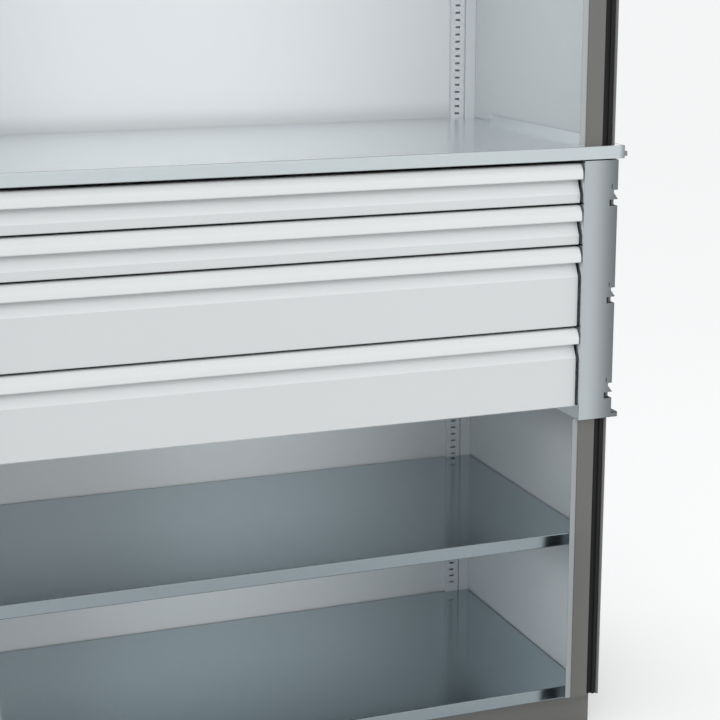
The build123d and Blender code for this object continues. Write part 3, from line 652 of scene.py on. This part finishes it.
def edit(piece):
    """Opens one piece in edit mode with nothing selected."""
    fresh()
    bpy.context.view_layer.objects.active = piece
    piece.select_set(True)
    bpy.ops.object.mode_set(mode="EDIT")
    bpy.ops.mesh.select_all(action="DESELECT")
    bpy.ops.mesh.select_mode(type="VERT")


def pick(piece, test):
    """Selects the vertices that pass a test on their place, and what lies between them."""
    mesh = bmesh.from_edit_mesh(piece.data)
    for vertex in mesh.verts:
        vertex.select_set(test(vertex.co))
    mesh.select_flush_mode()
    bmesh.update_edit_mesh(piece.data)


def turn_out(piece, outward):
    """Makes the faces of a sheet agree, with its largest face outward, and leaves edit mode."""
    bpy.ops.mesh.select_all(action="SELECT")
    bpy.ops.mesh.normals_make_consistent(inside=False)
    largest = max(bmesh.from_edit_mesh(piece.data).faces, key=lambda face: face.calc_area())
    if largest.normal.dot(Vector(outward)) < 0:
        bpy.ops.mesh.flip_normals()
    bpy.ops.object.mode_set(mode="OBJECT")


print("points closer than", SAME_PLACE, "m count as one place")

# %% [markdown]
# ## Thickness and edges
# A sheet is modelled as its outer face and then gets its thickness behind it. Every cut edge of a
# real sheet is broken, or it would cut the fitter, and that narrow chamfer is what catches the light.
# Flats stay flat and folds stay round because the normals follow the larger faces.

# %% Tools for finishing
CUT_ANGLE = math.radians(50)
SMOOTH_ANGLE = math.radians(40)


def apply_modifier(piece, kind, **settings):
    """Adds one modifier to a piece and applies it."""
    fresh()
    bpy.context.view_layer.objects.active = piece
    piece.select_set(True)
    modifier = piece.modifiers.new(kind.lower(), kind)
    for key, value in settings.items():
        setattr(modifier, key, value)
    bpy.ops.object.modifier_apply(modifier=modifier.name)


def thicken(piece, thickness):
    """Gives a sheet its thickness, behind its outer face."""
    apply_modifier(piece, "SOLIDIFY", thickness=thickness, offset=-1.0, use_even_offset=True)


def break_edges(piece, width, segments=2):
    """Takes the sharpness off the cut edges and shades the rest smooth, with flat flats."""
    apply_modifier(
        piece, "BEVEL", width=width, segments=segments, limit_method="ANGLE", angle_limit=CUT_ANGLE
    )
    fresh()
    bpy.context.view_layer.objects.active = piece
    piece.select_set(True)
    bpy.ops.object.shade_smooth_by_angle(angle=SMOOTH_ANGLE)
    apply_modifier(piece, "WEIGHTED_NORMAL", keep_sharp=True)


print("edges sharper than", round(math.degrees(CUT_ANGLE)), "degrees are broken")

# %% [markdown]
# ## Folding sheet metal
# Nearly every visible piece is a folded sheet. A fitter starts from a flat strip and folds it one
# flange at a time, and the model is made in the same way: a plane is laid down as the first
# flange, its leading edge is extruded flange by flange, and each fold is bevelled to its bend radius.

# %% Folding
WELD = 1e-6
BROKEN_EDGE = 0.0003


def near(point, run):
    """A test for places on the line that starts at a point and goes along the run."""
    along = run.normalized()
    return lambda co: (co - point - along * (co - point).dot(along)).length < SAME_PLACE


def fold_sheet(name, path, run, radii, thickness, outward, segments=1):
    """A sheet folded along a path of 3-D points and as wide as the run. The path is its outer face."""
    path = [Vector(point) for point in path]
    flange = path[1] - path[0]
    fresh()
    bpy.ops.mesh.primitive_plane_add(size=1.0)
    piece = bpy.context.object
    piece.name = name
    laid = Matrix((run, flange, run.cross(flange).normalized())).transposed().to_4x4()
    laid.translation = path[0] + flange / 2 + run / 2
    piece.matrix_world = laid
    bpy.ops.object.transform_apply(location=True, rotation=True, scale=True)
    edit(piece)
    pick(piece, near(path[1], run))
    for start, end in zip(path[1:], path[2:]):
        bpy.ops.mesh.extrude_region_move(TRANSFORM_OT_translate={"value": end - start})
    for before, fold, after, radius in zip(path, path[1:], path[2:], radii):
        pick(piece, near(fold, run))
        turn = (fold - before).angle(after - fold)
        bpy.ops.mesh.bevel(offset=radius * math.tan(turn / 2), segments=segments, affect="EDGES")
    bpy.ops.mesh.select_all(action="SELECT")
    bpy.ops.mesh.remove_doubles(threshold=WELD)
    turn_out(piece, outward)
    thicken(piece, thickness)
    break_edges(piece, BROKEN_EDGE)
    print(name, "has", len(path) - 1, "flanges")
    return piece


# %% [markdown]
# ## Pieces that come back
# Two of the four drawers are low and two are high, all grips are alike, and the shelf and the floor come
# from the same press. So a piece is modelled once for each size and copied up or down, with a mesh of its
# own, wherever that size comes back. When a piece is finished it gets its material and the body that it
# moves with, and the CAD node that it stands for is hidden.


# %% Copies, and handing a piece over
def copy_of(piece, name, move):
    """A copy of a piece with a mesh of its own, moved to another place."""
    fresh()
    bpy.context.view_layer.objects.active = piece
    piece.select_set(True)
    bpy.ops.object.duplicate(linked=False)
    twin = bpy.context.object
    twin.name = name
    twin.location = move
    bpy.ops.object.transform_apply(location=True, rotation=True, scale=True)
    return twin


def one_for_each(node_names, ending, build):
    """A piece for each CAD node, built once for each size of node and copied for the others."""
    patterns = {}
    pieces = {}
    for node in node_names:
        low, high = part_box(node)
        size = tuple(round(side, 4) for side in high - low)
        if size in patterns:
            pattern, start = patterns[size]
            pieces[node] = copy_of(pattern, node + ending, low - start)
        else:
            pieces[node] = build(node + ending, node)
            patterns[size] = (pieces[node], low)
    print(len(pieces), "pieces, of which modelled:", len(patterns))
    return pieces


def dress(piece, body, slot, node):
    """Hands a finished piece its material and its body, and hides the CAD node that it stands for."""
    piece.data.materials.clear()
    piece.data.materials.append(own_finish.get(node, finish_of[slot]))
    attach(piece, body)
    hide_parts(node)
    print(piece.name, len(piece.data.polygons), "faces on", body)


# %% [markdown]
# ## Drawer fronts
# Each front is a skin that leans out from a shadow recess into a flat face and returns below, with a
# plate closing it behind. Both follow a path that is read from the side, from the top down.

# %% Drawer fronts
FRONT_SHEET = 0.0012
GRIP_SHEET = 0.0015
RECESS = 0.013
RECESS_DROP = 0.028
LEAN_DROP = 0.055
RETURN = 0.017
SKIN_AHEAD = 0.0006
LEAN_RADIUS = 0.003
RETURN_RADIUS = 0.0027
FORWARD = (0, -1, 0)


def drawer_front(name, node):
    """The skin of a drawer front in the box of its CAD node, joined with the plate behind it."""
    low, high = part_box(node)
    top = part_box(node.replace("_front", "_grip"))[1].z
    recess = low.y + RECESS
    run = Vector((high.x - low.x, 0, 0))
    skin_path = [
        (low.x, recess - SKIN_AHEAD, top - RECESS_DROP),
        (low.x, low.y, top - LEAN_DROP),
        (low.x, low.y, low.z),
        (low.x, low.y + RETURN, low.z),
    ]
    plate_path = [(low.x, recess, top - GRIP_SHEET), (low.x, recess, low.z + FRONT_SHEET)]
    radii = [LEAN_RADIUS, RETURN_RADIUS]
    skin = fold_sheet(name, skin_path, run, radii, FRONT_SHEET, FORWARD, segments=5)
    plate = fold_sheet(name + "_plate", plate_path, run, [], FRONT_SHEET, FORWARD)
    fresh()
    plate.select_set(True)
    skin.select_set(True)
    bpy.context.view_layer.objects.active = skin
    bpy.ops.object.join()
    return skin


fronts = one_for_each([drawer + "_front" for drawer in DRAWERS], "_skin", drawer_front)
for drawer in DRAWERS:
    dress(fronts[drawer + "_front"], drawer, "drawer_paint", drawer + "_front")

# %% [markdown]
# ## Grips
# The bull-nosed grip runs across the full width of a front: a flat top, a round shoulder, a nose that
# stands proud of the face, and a short return that fingers hook behind. The grip is a profile of its own,
# in the drawer paint made a little paler as painted light.

# %% Grips
SHOULDER_AHEAD = 0.001
NOSE_AHEAD = 0.010
HOOK_AHEAD = 0.002
SHOULDER_DROP = 0.013
SHOULDER_RADIUS = 0.009
NOSE_RADIUS = 0.016
HOOK_RADIUS = 0.003
FORWARD_AND_UP = (0, -1, 1)


def grip(name, node):
    """The profile of a grip, folded in the box of its CAD node."""
    low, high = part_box(node)
    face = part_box(node.replace("_grip", "_front"))[0].y
    run = Vector((high.x - low.x, 0, 0))
    path = [
        (low.x, high.y, high.z),
        (low.x, face - SHOULDER_AHEAD, high.z),
        (low.x, face - NOSE_AHEAD, high.z - SHOULDER_DROP),
        (low.x, face - NOSE_AHEAD, low.z),
        (low.x, face - HOOK_AHEAD, low.z),
    ]
    radii = [SHOULDER_RADIUS, NOSE_RADIUS, HOOK_RADIUS]
    return fold_sheet(name, path, run, radii, GRIP_SHEET, FORWARD_AND_UP, segments=8)


grips = one_for_each([drawer + "_grip" for drawer in DRAWERS], "_profile", grip)
for drawer in DRAWERS:
    dress(grips[drawer + "_grip"], drawer, "drawer_paint", drawer + "_grip")

# %% [markdown]
# ## Working on edges
# Trays are no strips: they are folded up or down all round. So the next tools lay down a flat sheet,
# pick its edges by where they lie or by how sharply the sheet turns there, and pull them into walls.

# %% Tools for edges
FOLD_ANGLE = math.radians(60)


def flat_sheet(name, low, high, height):
    """A flat sheet between two corners, at a height and open for editing."""
    fresh()
    bpy.ops.mesh.primitive_plane_add(size=1.0)
    piece = bpy.context.object
    piece.name = name
    piece.scale = (high.x - low.x, high.y - low.y, 1.0)
    piece.location = ((low.x + high.x) / 2, (low.y + high.y) / 2, height)
    bpy.ops.object.transform_apply(location=True, rotation=True, scale=True)
    edit(piece)
    return piece


def pick_edges(piece, test):
    """Selects the edges that pass a test."""
    bpy.ops.mesh.select_all(action="DESELECT")
    bpy.ops.mesh.select_mode(type="EDGE")
    mesh = bmesh.from_edit_mesh(piece.data)
    for edge in mesh.edges:
        edge.select_set(test(edge))
    bmesh.update_edit_mesh(piece.data)


def pull_edges(move):
    """Extrudes the picked edges by a move."""
    bpy.ops.mesh.extrude_edges_move(TRANSFORM_OT_translate={"value": move})


def at(edge, **places):
    """Whether both ends of an edge lie at the places given for their axes."""
    return all(
        abs(getattr(vertex.co, axis) - place) < SAME_PLACE
        for vertex in edge.verts
        for axis, place in places.items()
    )


def folded(edge):
    """Whether the sheet turns a corner at an edge."""
    return len(edge.link_faces) == 2 and edge.calc_face_angle() > FOLD_ANGLE


print("a turn of more than", round(math.degrees(FOLD_ANGLE)), "degrees counts as a fold")

# %% [markdown]
# ## Shelf and floor
# Both are trays pressed from one zinc-coated sheet. Their rear corners are cut out round the slotted
# posts, all edges are folded down, and the front edge is folded back once more so that it is stiff and
# kind to fingers. The deck is laid down as a plane, cut along the notch lines, and its rim is extruded.
# The radius of the folds and the gap behind matter here: together with painted shade along the same
# edges, they draw the thin dark lines where a tray meets the walls and the back.

# %% Shelf and floor trays
DECK_SHEET = 0.0012
DECK_FOLD = 0.0025
HEM = 0.014
POST_GAP = 0.0005
FINE_EDGE = 0.0002
ACROSS = (1, 0, 0)
BACKWARD = (0, 1, 0)
UP = (0, 0, 1)


def deck_tray(name, node):
    """A shelf tray in the box of a CAD node, with notches for the posts and folded edges."""
    low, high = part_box(node)
    high.y -= REAR_GAP
    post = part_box("right_rear_post")[0]
    notch_x = post.x - POST_GAP
    notch_y = post.y - POST_GAP
    piece = flat_sheet(name, low, high, high.z)
    cuts = [((notch_x, 0, 0), ACROSS), ((-notch_x, 0, 0), ACROSS), ((0, notch_y, 0), BACKWARD)]
    for point, normal in cuts:
        bpy.ops.mesh.select_all(action="SELECT")
        bpy.ops.mesh.bisect(plane_co=point, plane_no=normal)
    for hand in (1, -1):
        pick(piece, lambda co: co.y > notch_y - SAME_PLACE and hand * co.x > notch_x - SAME_PLACE)
        bpy.ops.mesh.delete(type="FACE")
    pick_edges(piece, lambda edge: edge.is_boundary)
    pull_edges((0, 0, low.z - high.z))
    pick_edges(piece, lambda edge: at(edge, y=low.y, z=low.z))
    pull_edges((0, HEM, 0))
    inset = 1.0 - 4.0 * DECK_SHEET / (high.x - low.x)
    bpy.ops.transform.resize(value=(inset, 1, 1), center_override=(0, 0, 0))
    pick_edges(piece, lambda edge: folded(edge) and (at(edge, z=high.z) or at(edge, y=low.y, z=low.z)))
    bpy.ops.mesh.bevel(offset=DECK_FOLD, segments=4, affect="EDGES")
    turn_out(piece, UP)
    thicken(piece, DECK_SHEET)
    break_edges(piece, FINE_EDGE)
    return piece


for node, piece in one_for_each(("lower_shelf", "floor_panel"), "_tray", deck_tray).items():
    dress(piece, "cabinet", "shelf_zinc", node)

# %% [markdown]
# ## The drawer trays
# Behind each front hangs a pressed tray. Its walls are folded up, and at the top they are folded in
# and down again into a hemmed rim, so that no cut edge is left to scratch a hand. The bottom is laid
# down as a plane, and its free edge is extruded up, scaled in and extruded down. All folds get the
# same radius.

# %% Drawer trays
TRAY_SHEET = 0.001
TRAY_FOLD = 0.002
RIM_WIDTH = 0.008
RIM_HEM = 0.006
DOWN = (0, 0, -1)


def drawer_tray(name, node):
    """A tray with walls and a hemmed rim in the box of a CAD node."""
    low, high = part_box(node)
    size = high - low
    middle = (low + high) / 2
    piece = flat_sheet(name, low, high, low.z)
    pick_edges(piece, lambda edge: edge.is_boundary)
    pull_edges((0, 0, size.z))
    pull_edges((0, 0, 0))
    inset = (1.0 - 2.0 * RIM_WIDTH / size.x, 1.0 - 2.0 * RIM_WIDTH / size.y, 1.0)
    bpy.ops.transform.resize(value=inset, center_override=(middle.x, middle.y, high.z))
    pull_edges((0, 0, -RIM_HEM))
    pick_edges(piece, folded)
    bpy.ops.mesh.bevel(offset=TRAY_FOLD, segments=3, affect="EDGES")
    turn_out(piece, DOWN)
    thicken(piece, TRAY_SHEET)
    break_edges(piece, FINE_EDGE)
    return piece


trays = one_for_each([drawer + "_tray" for drawer in DRAWERS], "_pressing", drawer_tray)
for drawer in DRAWERS:
    dress(trays[drawer + "_tray"], drawer, "drawer_paint", drawer + "_tray")

# %% [markdown]
# ## The ears under the covers
# A small plate sticks out past the side at the foot of each cover, with its front and outer edges
# turned down into a rim. One is laid down as a plane, its two free edges are extruded down, the
# upright corner and the folds are rounded, and Solidify makes it sheet. The other is its mirror
# image.

# %% Ears
EAR_SHEET = 0.0015
EAR_CORNER = 0.005
EAR_FOLD = 0.0018

inner_corner = Vector((cover_high.x, cover_low.y, ears_high.z))
ears = flat_sheet("cover_feet_ears", inner_corner, ears_high, ears_high.z)
pick_edges(ears, lambda edge: at(edge, x=ears_high.x) or at(edge, y=cover_low.y))
pull_edges((0, 0, ears_low.z - ears_high.z))
pick_edges(ears, lambda edge: folded(edge) and not at(edge, z=ears_high.z))
bpy.ops.mesh.bevel(offset=EAR_CORNER, segments=5, affect="EDGES")
pick_edges(ears, lambda edge: folded(edge) and at(edge, z=ears_high.z))
bpy.ops.mesh.bevel(offset=EAR_FOLD, segments=3, affect="EDGES")
turn_out(ears, UP)
thicken(ears, EAR_SHEET)
apply_modifier(ears, "MIRROR", use_axis=(True, False, False), use_mirror_merge=False)
break_edges(ears, FINE_EDGE)
dress(ears, "cabinet", "galvanized", "cover_feet")

# %% [markdown]
# ## The rubber seals
# A black extrusion sits in the channel along each front edge. It has a flat base and a rounded ridge
# along its outer half. It starts as a box of the base's size. Its face is cut in two along the foot
# of the ridge, the outer half is drawn forward, and the edges are rounded.

# %% Seals
SEAL_BASE = 0.005
RIDGE_WIDTH = 0.0073
SEAL_RADIUS = 0.0015


def seal(name, node, hand):
    """A seal in the box of its CAD node, with the ridge on the right or on the left."""
    low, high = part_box(node)
    ridge = (high.x if hand > 0 else low.x) - hand * RIDGE_WIDTH
    face = high.y - SEAL_BASE
    fresh()
    bpy.ops.mesh.primitive_cube_add(size=1.0)
    piece = bpy.context.object
    piece.name = name
    piece.scale = (high.x - low.x, SEAL_BASE, high.z - low.z)
    piece.location = ((low.x + high.x) / 2, high.y - SEAL_BASE / 2, (low.z + high.z) / 2)
    bpy.ops.object.transform_apply(location=True, rotation=True, scale=True)
    edit(piece)
    bpy.ops.mesh.select_all(action="SELECT")
    bpy.ops.mesh.bisect(plane_co=(ridge, 0, 0), plane_no=ACROSS)
    pick(piece, lambda co: abs(co.y - face) < SAME_PLACE and (co.x - ridge) * hand > -SAME_PLACE)
    bpy.ops.mesh.extrude_region_move(TRANSFORM_OT_translate={"value": (0, low.y - face, 0)})
    bpy.ops.mesh.select_all(action="SELECT")
    bpy.ops.mesh.remove_doubles(threshold=WELD)
    bpy.ops.mesh.normals_make_consistent(inside=False)
    bpy.ops.object.mode_set(mode="OBJECT")
    break_edges(piece, SEAL_RADIUS, segments=4)
    return piece


for node, hand in (("right_seal", 1), ("left_seal", -1)):
    dress(seal(node + "_extrusion", node, hand), "cabinet", "seal_rubber", node)
